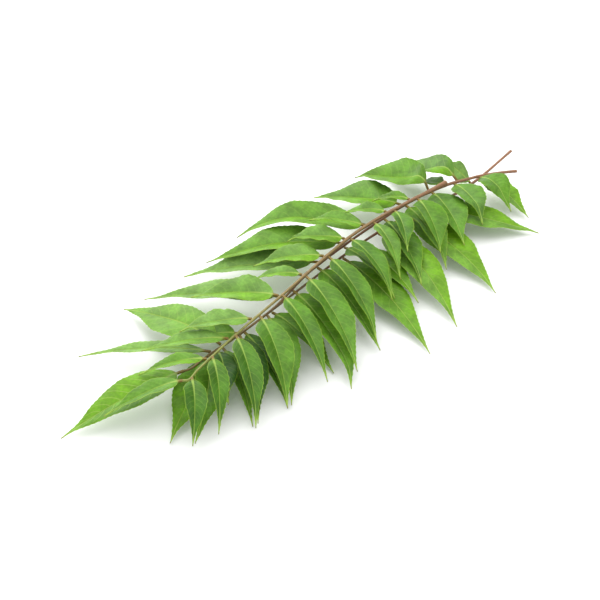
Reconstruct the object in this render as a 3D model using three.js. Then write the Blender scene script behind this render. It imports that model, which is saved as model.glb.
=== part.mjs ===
// A cut curry leaf sprig lying on a flat surface: three pinnate leaves, one over another.
// Millimetres, +Z up. +X runs along the sprig towards the cut ends of the stalks.
import * as THREE from 'three';

// Leaflet blades are modelled thicker than life (about 0.25 mm) so that each is a sound solid.
const BLADE_THICKNESS = 0.44;
const STALKLET_THICKNESS = 0.8;
const STALKLET_HALF_WIDTH = 0.45;
const TIP_HALF_WIDTH = 0.45;
const STALK_GAP = 0.35;
const CLEARANCE = 0.5;
const CELL = 1;
const ACROSS = 4;
// Which of a box's six groups of faces looks down.
const UNDERSIDE = 5;
// How far, in path samples, a stalk spreads the lift that one leaflet under it gives.
const SPAN = 40;
// Where the cross rows stand along a leaflet: stalklet, then blade, closer at both ends.
const ROWS = [0, 0.06, 0.13, 0.25, 0.4, 0.56, 0.72, 0.87, 1];
const LEFT = 1;
const RIGHT = -1;
// Slopes in degrees of the halves left and right of a leaflet's heading, and how much steeper
// each is beside the midrib than at the margin. Leaflets on one side of the stalk lean alike.
const CURL = 5;
const LEFT_SLOPE = { [LEFT]: 23, [RIGHT]: 3 };
const RIGHT_SLOPE = { [LEFT]: 16, [RIGHT]: 44 };
// How far a leaflet curves sideways, towards the tip of its leaf.
const BEND = { [LEFT]: 5, [RIGHT]: 18 };

// The height of whatever already lies on the surface, one value per square cell.
class Bed {
  constructor() {
    this.tops = new Map();
  }

  key(i, j) {
    return `${i},${j}`;
  }

  height(x, y) {
    const i = Math.floor(x / CELL);
    const j = Math.floor(y / CELL);
    let top = 0;
    for (let di = -1; di <= 1; di += 1) {
      for (let dj = -1; dj <= 1; dj += 1) {
        top = Math.max(top, this.tops.get(this.key(i + di, j + dj)) ?? 0);
      }
    }
    return top;
  }

  lay(point) {
    const key = this.key(Math.floor(point.x / CELL), Math.floor(point.y / CELL));
    this.tops.set(key, Math.max(this.tops.get(key) ?? 0, point.z));
  }
}

// A smooth curve through [x, y, z] stations, read by its x.
class StalkPath {
  constructor(points) {
    this.curve = new THREE.CatmullRomCurve3(points.map((p) => new THREE.Vector3(...p)));
    this.samples = this.curve.getPoints(400);
  }

  nearest(x) {
    let best = 0;
    this.samples.forEach((p, i) => {
      if (Math.abs(p.x - x) < Math.abs(this.samples[best].x - x)) {
        best = i;
      }
    });
    return best;
  }

  at(x) {
    return this.samples[this.nearest(x)].clone();
  }

  // Lifts the path, smoothly, until a stalk of this radius clears what lies under it.
  rest(bed, radius) {
    const need = this.samples.map((p) => {
      let top = 0;
      for (let off = -radius; off <= radius; off += radius) {
        top = Math.max(top, bed.height(p.x, p.y + off));
      }
      return Math.max(0, top + CLEARANCE + radius - p.z);
    });
    const window = (values, i, pick) => pick(values.slice(Math.max(0, i - SPAN), i + SPAN + 1));
    const highest = need.map((_, i) => window(need, i, (part) => Math.max(...part)));
    this.samples.forEach((p, i) => {
      p.z += window(highest, i, (part) => part.reduce((sum, n) => sum + n, 0) / part.length);
    });
  }

  // Unit vector in plan from the cut end towards the tip.
  heading(x) {
    const i = THREE.MathUtils.clamp(this.nearest(x), 4, this.samples.length - 5);
    const ahead = this.samples[i - 4].clone().sub(this.samples[i + 4]);
    return Math.atan2(ahead.y, ahead.x);
  }
}

// Half width of a leaflet blade from 0 to 1: rounded low down, drawn out to a fine tip.
function outline(t) {
  const body = Math.sin(Math.PI * Math.pow(t, 0.72));
  const drawn = 1 - 0.4 * Math.pow(t, 3);
  return Math.pow(Math.max(body, 0), 0.75 + 0.3 * t) * drawn;
}

// Half a cross section, from the midrib outwards: the blade rises by its slope, steeper inside.
function halfSection(slope) {
  const inner = THREE.MathUtils.degToRad(slope + CURL);
  const outer = THREE.MathUtils.degToRad(slope - CURL);
  return [
    { out: 0, up: 0 },
    { out: 0.5 * Math.cos(inner), up: 0.5 * Math.sin(inner) },
    { out: 0.5 * (Math.cos(inner) + Math.cos(outer)), up: 0.5 * (Math.sin(inner) + Math.sin(outer)) },
  ];
}

// Middle surface of a leaflet before it settles: one row of points for each of ROWS.
function leafletRows(leaf, path, stalkRadius) {
  const origin = path.at(leaf.at);
  const side = leaf.side;
  const heading = path.heading(leaf.at) - side * THREE.MathUtils.degToRad(leaf.spread);
  const bend = THREE.MathUtils.degToRad(leaf.bend ?? BEND[side]) * side;
  const left = leaf.left ?? LEFT_SLOPE[side];
  const right = leaf.right ?? RIGHT_SLOPE[side];
  const start = leaf.start ?? stalkRadius + STALK_GAP;
  const blade = ROWS[1];
  let reached = 0;
  const here = new THREE.Vector3(origin.x, origin.y, origin.z);
  here.x += Math.cos(heading) * start;
  here.y += Math.sin(heading) * start;
  return ROWS.map((t) => {
    const angle = heading + bend * (t - 0.35);
    const step = (t - reached) * leaf.length;
    here.x += Math.cos(angle) * step;
    here.y += Math.sin(angle) * step;
    reached = t;
    const z = origin.z + (leaf.arch ?? 2) * Math.sin(Math.PI * t) - leaf.drop * Math.pow(t, 1.35);
    const inBlade = t > blade;
    const width = inBlade ? (leaf.width / 2) * outline((t - blade) / (1 - blade)) : 0;
    const least = t < 0.5 ? STALKLET_HALF_WIDTH : TIP_HALF_WIDTH;
    const half = Math.max(width, least);
    const open = THREE.MathUtils.smoothstep(t, 0.04, 0.4);
    const sections = { [LEFT]: halfSection(left * open), [RIGHT]: halfSection(right * open) };
    const sunk = 0.15 * (sections[LEFT][2].up + sections[RIGHT][2].up);
    const row = [];
    for (let k = 0; k <= ACROSS; k += 1) {
      const u = k - ACROSS / 2;
      const point = sections[u < 0 ? RIGHT : LEFT][Math.abs(u)];
      const out = half * point.out * Math.sign(u);
      row.push(new THREE.Vector3(
        here.x - Math.sin(angle) * out,
        here.y + Math.cos(angle) * out,
        z + width * (point.up - sunk),
      ));
    }
    return row;
  });
}

function thicknessAt(i) {
  return ROWS[i] <= ROWS[1] ? STALKLET_THICKNESS : BLADE_THICKNESS;
}

// Visits points spread evenly over the facets between neighbouring rows.
function overFacets(rows, visit) {
  for (let i = 0; i + 1 < rows.length; i += 1) {
    for (let k = 0; k + 1 < rows[i].length; k += 1) {
      const run = rows[i][k].distanceTo(rows[i + 1][k]);
      const here = rows[i][k].distanceTo(rows[i][k + 1]);
      const ahead = rows[i + 1][k].distanceTo(rows[i + 1][k + 1]);
      const rise = Math.max(here, ahead);
      const n = Math.ceil(run / 0.5) + 1;
      const m = Math.ceil(rise / 0.5) + 1;
      for (let a = 0; a <= n; a += 1) {
        const near = rows[i][k].clone().lerp(rows[i + 1][k], a / n);
        const far = rows[i][k + 1].clone().lerp(rows[i + 1][k + 1], a / n);
        for (let b = 0; b <= m; b += 1) {
          visit(near.clone().lerp(far, b / m), i, a / n);
        }
      }
    }
  }
}

// Lifts a leaflet, as a thin springy strip held at its stalk, until it lies on what is under it.
function settle(rows, bed) {
  const need = rows.map(() => 0);
  const under = BLADE_THICKNESS / 2;
  overFacets(rows, (p, i, a) => {
    const top = bed.height(p.x, p.y);
    const lift = top + (top > 0 ? CLEARANCE : 0) + under - p.z;
    const nearRow = a < 0.5 ? i : i + 1;
    need[nearRow] = Math.max(need[nearRow], lift);
    need[i] = Math.max(need[i], lift - 3 * a);
    need[i + 1] = Math.max(need[i + 1], lift - 3 * (1 - a));
  });
  const lift = need.map((n) => Math.max(n, 0));
  const last = rows.length - 1;
  for (let pass = 0; pass < 60; pass += 1) {
    for (let i = 1; i < last; i += 1) {
      const run = ROWS[i + 1] - ROWS[i - 1];
      const mean = (lift[i - 1] * (ROWS[i + 1] - ROWS[i]) + lift[i + 1] * (ROWS[i] - ROWS[i - 1])) / run;
      lift[i] = Math.max(need[i], mean * 0.97);
    }
    lift[last] = Math.max(need[last], 1.15 * lift[last - 1] - 0.15 * lift[last - 2] - 0.5, 0);
  }
  rows.forEach((row, i) => {
    row.forEach((p) => {
      p.z += lift[i];
    });
  });
}

// Closed blade: the top and bottom faces of a flat box are drawn onto the settled surface.
function leafletGeometry(rows) {
  const along = rows.length - 1;
  const geometry = new THREE.BoxGeometry(along, ACROSS, 1, along, ACROSS, 1);
  const position = geometry.attributes.position;
  for (let v = 0; v < position.count; v += 1) {
    const i = Math.round(position.getX(v) + along / 2);
    const k = Math.round(position.getY(v) + ACROSS / 2);
    const up = Math.sign(position.getZ(v));
    const p = rows[i][k];
    const half = thicknessAt(i) / 2;
    position.setXYZ(v, p.x, p.y, Math.max(p.z + up * half, up > 0 ? BLADE_THICKNESS : 0));
  }
  // The underside is split along the same diagonals as the top, so the two stay parallel.
  const { start, count } = geometry.groups[UNDERSIDE];
  for (let n = start; n < start + count; n += 6) {
    const [a, b, d, , c] = geometry.index.array.slice(n, n + 6);
    geometry.index.array.set([a, b, c, a, c, d], n);
  }
  geometry.computeVertexNormals();
  return geometry;
}

// Stalk from cut end to tip: a tapering cylinder wrapped along its path, with a swollen cut end.
function stalkGeometry(path, from, to, base, tip, swelling) {
  const SIDES = 8;
  const RINGS = 26;
  const geometry = new THREE.CylinderGeometry(1, 1, 1, SIDES, RINGS, false);
  const position = geometry.attributes.position;
  const up = new THREE.Vector3(0, 0, 1);
  for (let v = 0; v < position.count; v += 1) {
    const t = position.getY(v) + 0.5;
    const centre = path.at(THREE.MathUtils.lerp(from, to, t));
    const angle = path.heading(centre.x);
    const lateral = new THREE.Vector3(-Math.sin(angle), Math.cos(angle), 0);
    const radius = THREE.MathUtils.lerp(base, tip, Math.pow(t, 0.8)) + swelling * Math.exp(-t * 40);
    const scale = Math.hypot(position.getX(v), position.getZ(v)) < 0.5 ? 0 : radius;
    const p = centre
      .addScaledVector(lateral, position.getX(v) * scale)
      .addScaledVector(up, -position.getZ(v) * scale);
    position.setXYZ(v, p.x, p.y, p.z);
  }
  geometry.computeVertexNormals();
  return geometry;
}

// Each pinnate leaf, from the lowest to the one on top. A path runs from tip to cut end.
// Leaflets name where they join the stalk (x), their length, width, spread from the stalk,
// and how far the tip drops; roll tilts the blade outwards, bend curves it towards the tip.
const LEAVES = [
  {
    name: 'lower',
    path: [
      [-50, 9, 5.2], [-30, 8, 5.6], [0, 8, 5.8], [50, 8, 6],
      [80, 5, 6], [103, -1, 6], [122, -3.5, 6.5], [153, -3.2, 8],
    ],
    stalk: { from: 153, to: -47, base: 0.75, tip: 0.45, swelling: 0.15 },
    color: 0x5a3a22,
    leaflets: [
      {
        name: 'small_leaflet', side: LEFT, at: 121, length: 13,
        width: 10, spread: 66, drop: -9, left: -17, right: 33,
      },
      {
        name: 'right_leaflet_1', side: RIGHT, at: 126, length: 31,
        width: 13, spread: 85, drop: 5, left: 5, right: 12,
      },
      {
        name: 'right_leaflet_2', side: RIGHT, at: 92, length: 51,
        width: 19, spread: 130, drop: 5, left: 5, right: 12, bend: -12,
      },
      {
        name: 'right_leaflet_3', side: RIGHT, at: 80, length: 60,
        width: 19, spread: 92, drop: 5, left: 5, right: 12,
      },
      {
        name: 'right_leaflet_4', side: RIGHT, at: 62, length: 66,
        width: 18, spread: 77, drop: 5, left: 5, right: 12,
      },
      {
        name: 'right_leaflet_5', side: RIGHT, at: 50, length: 46,
        width: 12, spread: 77, drop: 5, left: 4, right: 22,
      },
      {
        name: 'right_leaflet_6', side: RIGHT, at: 38, length: 67,
        width: 17, spread: 76, drop: 5, left: 5, right: 12,
      },
      { name: 'right_leaflet_7', side: RIGHT, at: -10, length: 41, width: 15, spread: 82, drop: 5 },
      { name: 'right_leaflet_8', side: RIGHT, at: -27, length: 43, width: 12, spread: 71, drop: 5 },
      { name: 'right_leaflet_9', side: RIGHT, at: -39, length: 42, width: 10, spread: 65, drop: 5 },
      { name: 'left_leaflet', side: LEFT, at: -28, length: 27, width: 15, spread: 46, drop: 4 },
      {
        name: 'end_leaflet', side: RIGHT, at: -44, length: 47,
        width: 17, spread: 27, drop: 4, start: 2.4, bend: 6, left: 10, right: 10,
      },
    ],
  },
  {
    name: 'middle',
    path: [[-64, 6, 10], [-14, 4, 11], [17, 8, 11.5], [81, 6.4, 11.5], [99, 3, 11.5], [108, 0.2, 11.5],
      [114, -2.7, 11.5], [126, -8.3, 11], [139, -17, 10]],
    stalk: { from: 138, to: -62, base: 0.75, tip: 0.45, swelling: 0.2 },
    color: 0x6b4527,
    leaflets: [
      {
        name: 'right_leaflet_1', side: RIGHT, at: 121, length: 22,
        width: 16, spread: 105, drop: 8, left: 6, right: 20,
      },
      {
        name: 'right_leaflet_2', side: RIGHT, at: 109, length: 29,
        width: 16, spread: 91, drop: 8, left: 6, right: 24,
      },
      {
        name: 'right_leaflet_3', side: RIGHT, at: 97, length: 36,
        width: 18.2, spread: 77, drop: 9, left: 6, right: 26,
      },
      { name: 'right_leaflet_4', side: RIGHT, at: 81, length: 42, width: 17, spread: 73, drop: 9 },
      { name: 'right_leaflet_5', side: RIGHT, at: 66, length: 46, width: 15, spread: 65, drop: 9 },
      { name: 'right_leaflet_6', side: RIGHT, at: 38, length: 36, width: 16, spread: 81, drop: 9 },
      { name: 'right_leaflet_7', side: RIGHT, at: 20, length: 50, width: 18, spread: 72, drop: 9 },
      { name: 'right_leaflet_8', side: RIGHT, at: 2, length: 56, width: 20, spread: 62, drop: 9 },
      { name: 'right_leaflet_9', side: RIGHT, at: -17, length: 45, width: 15, spread: 57, drop: 9 },
      { name: 'right_leaflet_10', side: RIGHT, at: -33, length: 43, width: 14, spread: 58, drop: 8 },
      { name: 'right_leaflet_11', side: RIGHT, at: -46, length: 29, width: 11.4, spread: 57, drop: 8 },
      { name: 'right_leaflet_12', side: RIGHT, at: -50, length: 41, width: 13.7, spread: 43, drop: 8 },
      {
        name: 'left_leaflet_1', side: LEFT, at: 112, length: 40,
        width: 20, spread: 52, drop: 14, lay: -100, arch: 0.5,
      },
      {
        name: 'left_leaflet_2', side: LEFT, at: 104, length: 20,
        width: 11, spread: 88, drop: 11, lay: -110, arch: 0.5,
      },
      {
        name: 'left_leaflet_3', side: LEFT, at: 97, length: 36,
        width: 25, spread: 58, drop: 9, arch: 1,
      },
      { name: 'left_leaflet_4', side: LEFT, at: 80, length: 43, width: 23, spread: 67, drop: 8 },
      {
        name: 'left_leaflet_5', side: LEFT, at: 58, length: 60,
        width: 21, spread: 43, drop: 12, bend: 20,
      },
      {
        name: 'left_leaflet_6', side: LEFT, at: 42, length: 61,
        width: 20, spread: 42, drop: 9, bend: 10,
      },
      { name: 'left_leaflet_7', side: LEFT, at: 24, length: 59, width: 19, spread: 53, drop: 9 },
      { name: 'left_leaflet_8', side: LEFT, at: -4, length: 60, width: 15, spread: 68, drop: 9 },
      {
        name: 'left_leaflet_9', side: LEFT, at: -42, length: 54,
        width: 19, spread: 82, drop: 9, bend: -6, left: -2, right: 14,
      },
      { name: 'left_leaflet_10', side: LEFT, at: -48, length: 55, width: 8, spread: 53, drop: 8 },
      {
        name: 'end_leaflet', side: LEFT, at: -61, length: 54,
        width: 18, spread: 15, drop: 9, start: 2.4, bend: 2, left: 12, right: 8,
      },
    ],
  },
  {
    name: 'upper',
    path: [[-72, -3, 16], [-43, -0.9, 17.8], [-10, 1.1, 18.5], [24, 3.9, 18.5], [40, 4.6, 18.5],
      [58, 3.5, 18.5], [76, 0.8, 18.5], [100, -2.8, 18]],
    stalk: { from: 99, to: -71, base: 0.85, tip: 0.45, swelling: 0.4 },
    color: 0x8a5a3c,
    leaflets: [
      { name: 'right_leaflet_1', side: RIGHT, at: 81, length: 31, width: 16, spread: 69, drop: 10 },
      { name: 'right_leaflet_2', side: RIGHT, at: 67, length: 28, width: 10.3, spread: 61, drop: 10 },
      { name: 'right_leaflet_3', side: RIGHT, at: 54, length: 31, width: 9.7, spread: 69, drop: 11 },
      { name: 'right_leaflet_4', side: RIGHT, at: 38, length: 34, width: 11.4, spread: 75, drop: 11 },
      { name: 'right_leaflet_5', side: RIGHT, at: 22.5, length: 45, width: 13.1, spread: 67, drop: 12 },
      { name: 'right_leaflet_6', side: RIGHT, at: 6, length: 50, width: 16, spread: 64, drop: 12 },
      {
        name: 'right_leaflet_7', side: RIGHT, at: -10.5, length: 42,
        width: 11.4, spread: 66, drop: 12,
      },
      {
        name: 'right_leaflet_8', side: RIGHT, at: -25.5, length: 42,
        width: 14.8, spread: 57, drop: 12,
      },
      { name: 'right_leaflet_9', side: RIGHT, at: -41, length: 40, width: 11.4, spread: 54, drop: 12 },
      {
        name: 'right_leaflet_10', side: RIGHT, at: -55.5, length: 31,
        width: 9.1, spread: 47, drop: 11,
      },
      { name: 'right_leaflet_11', side: RIGHT, at: -68, length: 27, width: 10.3, spread: 43, drop: 10 },
      { name: 'left_leaflet_1', side: LEFT, at: 78, length: 17, width: 7, spread: 56, drop: 5 },
      { name: 'left_leaflet_2', side: LEFT, at: 64, length: 19, width: 9, spread: 48, drop: 5 },
      { name: 'left_leaflet_3', side: LEFT, at: 50, length: 24, width: 10, spread: 44, drop: 6 },
      { name: 'left_leaflet_4', side: LEFT, at: 37, length: 25, width: 13, spread: 45, drop: 6 },
      { name: 'left_leaflet_5', side: LEFT, at: 22, length: 30, width: 14, spread: 52, drop: 6 },
      { name: 'left_leaflet_6', side: LEFT, at: 6, length: 22, width: 8, spread: 63, drop: 6 },
      { name: 'left_leaflet_7', side: LEFT, at: -11, length: 37, width: 18, spread: 64, drop: 6 },
      { name: 'left_leaflet_8', side: LEFT, at: -28, length: 30, width: 12, spread: 37, drop: 6 },
      { name: 'left_leaflet_9', side: LEFT, at: -43, length: 35, width: 10, spread: 52, drop: 6 },
      { name: 'left_leaflet_10', side: LEFT, at: -57, length: 27, width: 8, spread: 48, drop: 6 },
      {
        name: 'end_leaflet', side: LEFT, at: -70, length: 32,
        width: 10, spread: 32, drop: 9, start: 2.4, bend: 2, left: 30, right: 10,
      },
    ],
  },
];

const BLADE_GREEN = 0x4f9a3a;

function makeMesh(name, geometry, color, roughness) {
  const material = new THREE.MeshStandardMaterial({ color, roughness, metalness: 0 });
  const mesh = new THREE.Mesh(geometry, material);
  mesh.name = name;
  return mesh;
}

function buildLeaf(spec, bed) {
  const path = new StalkPath(spec.path);
  const { from, to, base, tip, swelling } = spec.stalk;
  path.rest(bed, base);
  const stalk = stalkGeometry(path, from, to, base, tip, swelling);
  const meshes = [makeMesh(`${spec.name}_stalk`, stalk, spec.color, 0.6)];
  // Each blade leans up on its tipward side, so it lies over the next leaflet towards the tip.
  const order = [...spec.leaflets].sort((a, b) => (a.lay ?? a.at) - (b.lay ?? b.at));
  order.forEach((leaf) => {
    const rows = leafletRows(leaf, path, base);
    settle(rows, bed);
    overFacets(rows, (p, i) => {
      bed.lay(new THREE.Vector3(p.x, p.y, p.z + thicknessAt(i) / 2));
    });
    meshes.push(makeMesh(`${spec.name}_${leaf.name}`, leafletGeometry(rows), BLADE_GREEN, 0.45));
  });
  path.samples.forEach((p) => {
    for (let off = -base; off <= base; off += base / 2) {
      bed.lay(new THREE.Vector3(p.x, p.y + off, p.z + base));
    }
  });
  return meshes;
}

const sprig = new THREE.Group();
sprig.name = 'curry_leaf_sprig';
const bed = new Bed();
LEAVES.forEach((spec) => {
  buildLeaf(spec, bed).forEach((mesh) => sprig.add(mesh));
});

// The origin is the middle of the footprint, on the surface.
const bounds = new THREE.Box3().setFromObject(sprig);
const middle = bounds.getCenter(new THREE.Vector3());
sprig.children.forEach((mesh) => {
  mesh.geometry.translate(-middle.x, -middle.y, -bounds.min.z);
});

export default sprig;
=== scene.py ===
"""Looks of a cut curry leaf sprig: leaflets with veins and toothed margins on slender stalks."""

import logging
import math
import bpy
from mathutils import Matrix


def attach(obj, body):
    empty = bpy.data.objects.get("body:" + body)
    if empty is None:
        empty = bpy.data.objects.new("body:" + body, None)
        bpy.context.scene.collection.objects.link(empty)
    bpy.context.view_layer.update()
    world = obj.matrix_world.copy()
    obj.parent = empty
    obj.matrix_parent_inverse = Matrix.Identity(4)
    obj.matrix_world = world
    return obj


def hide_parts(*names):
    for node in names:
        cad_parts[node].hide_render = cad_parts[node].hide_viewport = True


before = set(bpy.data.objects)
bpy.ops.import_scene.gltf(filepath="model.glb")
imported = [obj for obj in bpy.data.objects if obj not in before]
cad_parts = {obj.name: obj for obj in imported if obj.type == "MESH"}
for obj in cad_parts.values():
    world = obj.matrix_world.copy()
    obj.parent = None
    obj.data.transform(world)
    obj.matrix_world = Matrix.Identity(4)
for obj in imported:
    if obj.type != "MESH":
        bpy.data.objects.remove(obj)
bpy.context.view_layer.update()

import zlib
from dataclasses import dataclass, field
from enum import Enum
from typing import Dict, List, Sequence, Tuple

import bpy
import numpy as np
from mathutils import Vector

Colour = Tuple[float, float, float]
Place = Tuple[float, float, float]
Socket = bpy.types.NodeSocket

log = logging.getLogger("curry_leaf_sprig")

MM = 0.001
# Where the CAD part puts its cross rows along a leaflet, stalklet first, and its points across.
ROWS = np.array([0.0, 0.06, 0.13, 0.25, 0.4, 0.56, 0.72, 0.87, 1.0])
ACROSS = 4
MIDRIB = 2
BLADE_START = 0.06
# CAD corners nearer than this are one corner, and a stalk's rings are further apart than that.
MERGE_DISTANCE = 2e-5
RING_GAP = 3.0 * MM
# A CAD face that looks up or down by more than this is on the blade's top or underside.
FACE_SLOPE = 0.02
OFF_SHEET = 999
# How much narrower than the plain outline a blade is where its drawn-out tip begins.
TIP_SLIMNESS = 0.30
# Side veins: how many there are along a blade, how far they sweep towards the tip in vein gaps,
# how that grows outwards, and how far the left half's are ahead of the right half's.
VEINS_ALONG = 11.0
VEIN_SWEEP = 1.9
VEIN_CURVE = 1.35
VEIN_STAGGER = 0.42
VEIN_WANDER_SCALE = 90.0
VEIN_WANDER = 0.5
BUMP_DEPTH = 0.6 * MM
# Size, as a share of the half width, and rate of the slow waves in a blade's margin.
MARGIN_WAVES = ((0.020, 11), (0.014, 23), (0.010, 41))


class Side(Enum):
    """The two halves of a leaflet blade, seen from its stalk end."""

    LEFT = 1
    RIGHT = -1


def seed_of(name: str) -> np.random.Generator:
    """A random generator that is always the same for a piece of this name.

    Args:
        name: The piece's name, with a word for what the numbers are for.

    Returns:
        The generator.
    """
    return np.random.default_rng(zlib.crc32(name.encode()))


def outline(t: np.ndarray) -> np.ndarray:
    """Half width of a blade, 0 to 1, at shares t of its length.

    Args:
        t: Shares of the blade's length from its base.

    Returns:
        The half width as a share of the widest half.
    """
    inner = np.clip(t, 0.0, 1.0)
    body = np.clip(np.sin(math.pi * inner**0.72), 0.0, None) ** (0.75 + 0.3 * inner)
    return body * (1.0 - 0.4 * inner**3)


def blade_share(s: np.ndarray) -> np.ndarray:
    """Where corners lie along the blade alone.

    Args:
        s: Shares of the leaflet's length, its stalklet included.

    Returns:
        Shares of the blade's own length, 0 on the stalklet.
    """
    return np.clip((s - BLADE_START) / (1 - BLADE_START), 0.0, 1.0)


def smoothstep(low: float, high: float, x: np.ndarray) -> np.ndarray:
    """A smooth rise.

    Args:
        low: Where it leaves 0.
        high: Where it reaches 1.
        x: Where it is read.

    Returns:
        A number from 0 to 1 for each x.
    """
    t = np.clip((x - low) / (high - low), 0.0, 1.0)
    return t * t * (3.0 - 2.0 * t)


def drawn_out(t: np.ndarray) -> np.ndarray:
    """Half width of a blade with a long slender tip, narrower than the plain outline.

    Args:
        t: Shares of the blade's length from its base.

    Returns:
        The half width as a share of the widest half.
    """
    return outline(t) * (1.0 - TIP_SLIMNESS * smoothstep(0.5, 0.93, np.clip(t, 0.0, 1.0)))


def through(stations: np.ndarray, values: np.ndarray, x: np.ndarray) -> np.ndarray:
    """A smooth curve through values at stations, read at x.

    Args:
        stations: Increasing positions, n of them.
        values: Values at the stations, n rows.
        x: Where the curve is read.

    Returns:
        One row for each x.
    """
    step = np.diff(stations)
    slope = np.diff(values, axis=0) / step[:, None]
    tangent = np.empty_like(values)
    tangent[0], tangent[-1] = slope[0], slope[-1]
    before, after = step[:-1, None], step[1:, None]
    tangent[1:-1] = (slope[:-1] * after + slope[1:] * before) / (before + after)
    k = np.clip(np.searchsorted(stations, x, side="right") - 1, 0, len(step) - 1)
    t = ((x - stations[k]) / step[k])[:, None]
    h = step[k][:, None]
    return (
        (1 + 2 * t) * (1 - t) ** 2 * values[k]
        + t * (1 - t) ** 2 * h * tangent[k]
        + t * t * (3 - 2 * t) * values[k + 1]
        + t * t * (t - 1) * h * tangent[k + 1]
    )


class FrameMesh:
    """A CAD node's own mesh with its doubled corners merged."""

    def __init__(self, name: str) -> None:
        """Reads the node of this name from the frame."""
        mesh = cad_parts[name].data
        raw = np.empty(len(mesh.vertices) * 3)
        mesh.vertices.foreach_get("co", raw)
        raw = raw.reshape(-1, 3)
        mesh.calc_loop_triangles()
        tris = np.empty(len(mesh.loop_triangles) * 3, dtype=np.int64)
        mesh.loop_triangles.foreach_get("vertices", tris)
        keys = np.round(raw / MERGE_DISTANCE).astype(np.int64)
        _, first, index = np.unique(keys, axis=0, return_index=True, return_inverse=True)
        self.points = raw[first]
        self.tris = index.reshape(-1)[tris].reshape(-1, 3)

    def normals(self) -> np.ndarray:
        """Unit normal of each triangle."""
        a, b, c = (self.points[self.tris[:, k]] for k in range(3))
        n = np.cross(b - a, c - a)
        return n / np.linalg.norm(n, axis=1)[:, None]


def stalk_centres(name: str) -> np.ndarray:
    """Centre points of a CAD stalk's rings, from cut end to tip.

    Args:
        name: The stalk's CAD node.

    Returns:
        An n by 4 array of x, y, z and ring radius.
    """
    points = FrameMesh(name).points
    points = points[np.argsort(-points[:, 0])]
    breaks = np.where(np.diff(points[:, 0]) < -RING_GAP)[0] + 1
    rows = []
    for ring in np.split(points, breaks):
        centre = (ring.min(axis=0) + ring.max(axis=0)) / 2
        rows.append([*centre, (ring[:, 2].max() - ring[:, 2].min()) / 2])
    return np.array(rows)


class LeafletFrame:
    """The middle surface of a CAD leaflet as a grid of rows along it by points across it."""

    def __init__(self, name: str, stalk: np.ndarray) -> None:
        """Finds the grid in the node's mesh, with row 0 at the stalk.

        Args:
            name: The leaflet's CAD node.
            stalk: Centres of the stalk that it grows from.
        """
        mesh = FrameMesh(name)
        up = mesh.normals()[:, 2]
        top = mesh.tris[up > FACE_SLOPE]
        low = mesh.tris[up < -FACE_SLOPE]
        ends = self._ends(mesh, top)
        nearest = [np.linalg.norm(stalk[:, None, :3] - mesh.points[e], axis=2).min() for e in ends]
        if nearest[0] > nearest[1]:
            ends = ends[::-1]
        row_of = self._steps(top, ends[0], len(mesh.points))
        first = mesh.points[ends[0]].mean(axis=0)
        last = mesh.points[ends[1]].mean(axis=0)
        loop = self._loop(top)
        side = self._side(mesh, loop, ends, last - first)
        col_of = self._steps(top, side, len(mesh.points))
        grid = np.zeros((len(ROWS), ACROSS + 1, 3))
        below = np.unique(low)
        for v in np.unique(top):
            p = mesh.points[v]
            q = mesh.points[below[np.argmin(np.hypot(*(mesh.points[below, :2] - p[:2]).T))]]
            grid[row_of[v], col_of[v]] = (p + q) / 2
        self.grid = grid

    @staticmethod
    def _loop(top: np.ndarray) -> List[int]:
        """The corners round the edge of a sheet of triangles, in order."""
        edges: Dict[Tuple[int, int], int] = {}
        for a, b, c in top:
            for e in ((a, b), (b, c), (c, a)):
                edges[e] = 1
        follow = {a: b for (a, b) in edges if (b, a) not in edges}
        start = min(follow)
        loop = [start]
        while follow[loop[-1]] != start:
            loop.append(follow[loop[-1]])
        return loop

    def _ends(self, mesh: FrameMesh, top: np.ndarray) -> List[List[int]]:
        """The two short ends of the sheet, each as its corners in order."""
        loop = self._loop(top)
        n = len(loop)
        at = mesh.points[loop]
        edge = np.linalg.norm(np.roll(at, -1, axis=0) - at, axis=1)
        run = sum(np.roll(edge, -k) for k in range(ACROSS))
        half = n // 2
        pair = run + np.roll(run, -half)
        k = int(np.argmin(pair))
        return [[loop[(k + s + i) % n] for i in range(ACROSS + 1)] for s in (0, half)]

    @staticmethod
    def _side(
        mesh: FrameMesh, loop: List[int], ends: List[List[int]], run: np.ndarray
    ) -> List[int]:
        """The long edge on a leaflet's right, so that columns count leftwards.

        Args:
            mesh: The leaflet's CAD mesh.
            loop: The corners round its top sheet.
            ends: The corners of its two short ends, stalk end first.
            run: The way from the stalk end to the tip.

        Returns:
            The corners of the edge.
        """
        n = len(loop)
        k = loop.index(ends[0][-1])
        one = [loop[(k + i) % n] for i in range(len(ROWS))]
        k = loop.index(ends[1][-1])
        other = [loop[(k + i) % n] for i in range(len(ROWS))]
        across = mesh.points[one].mean(axis=0) - mesh.points[other].mean(axis=0)
        left = np.cross(run, across)[2] > 0
        return other if left else one

    @staticmethod
    def _steps(top: np.ndarray, start: Sequence[int], count: int) -> np.ndarray:
        """How many edges each corner is from the start corners.

        Args:
            top: The sheet's triangles.
            start: The corners that count as 0.
            count: How many corners the mesh has.

        Returns:
            A number for each corner, very large for those off the sheet.
        """
        steps = np.full(count, OFF_SHEET)
        steps[list(start)] = 0
        for _ in range(len(ROWS) + ACROSS):
            for a, b in ((0, 1), (1, 2), (2, 0)):
                np.minimum.at(steps, top[:, a], steps[top[:, b]] + 1)
                np.minimum.at(steps, top[:, b], steps[top[:, a]] + 1)
        return steps


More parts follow.
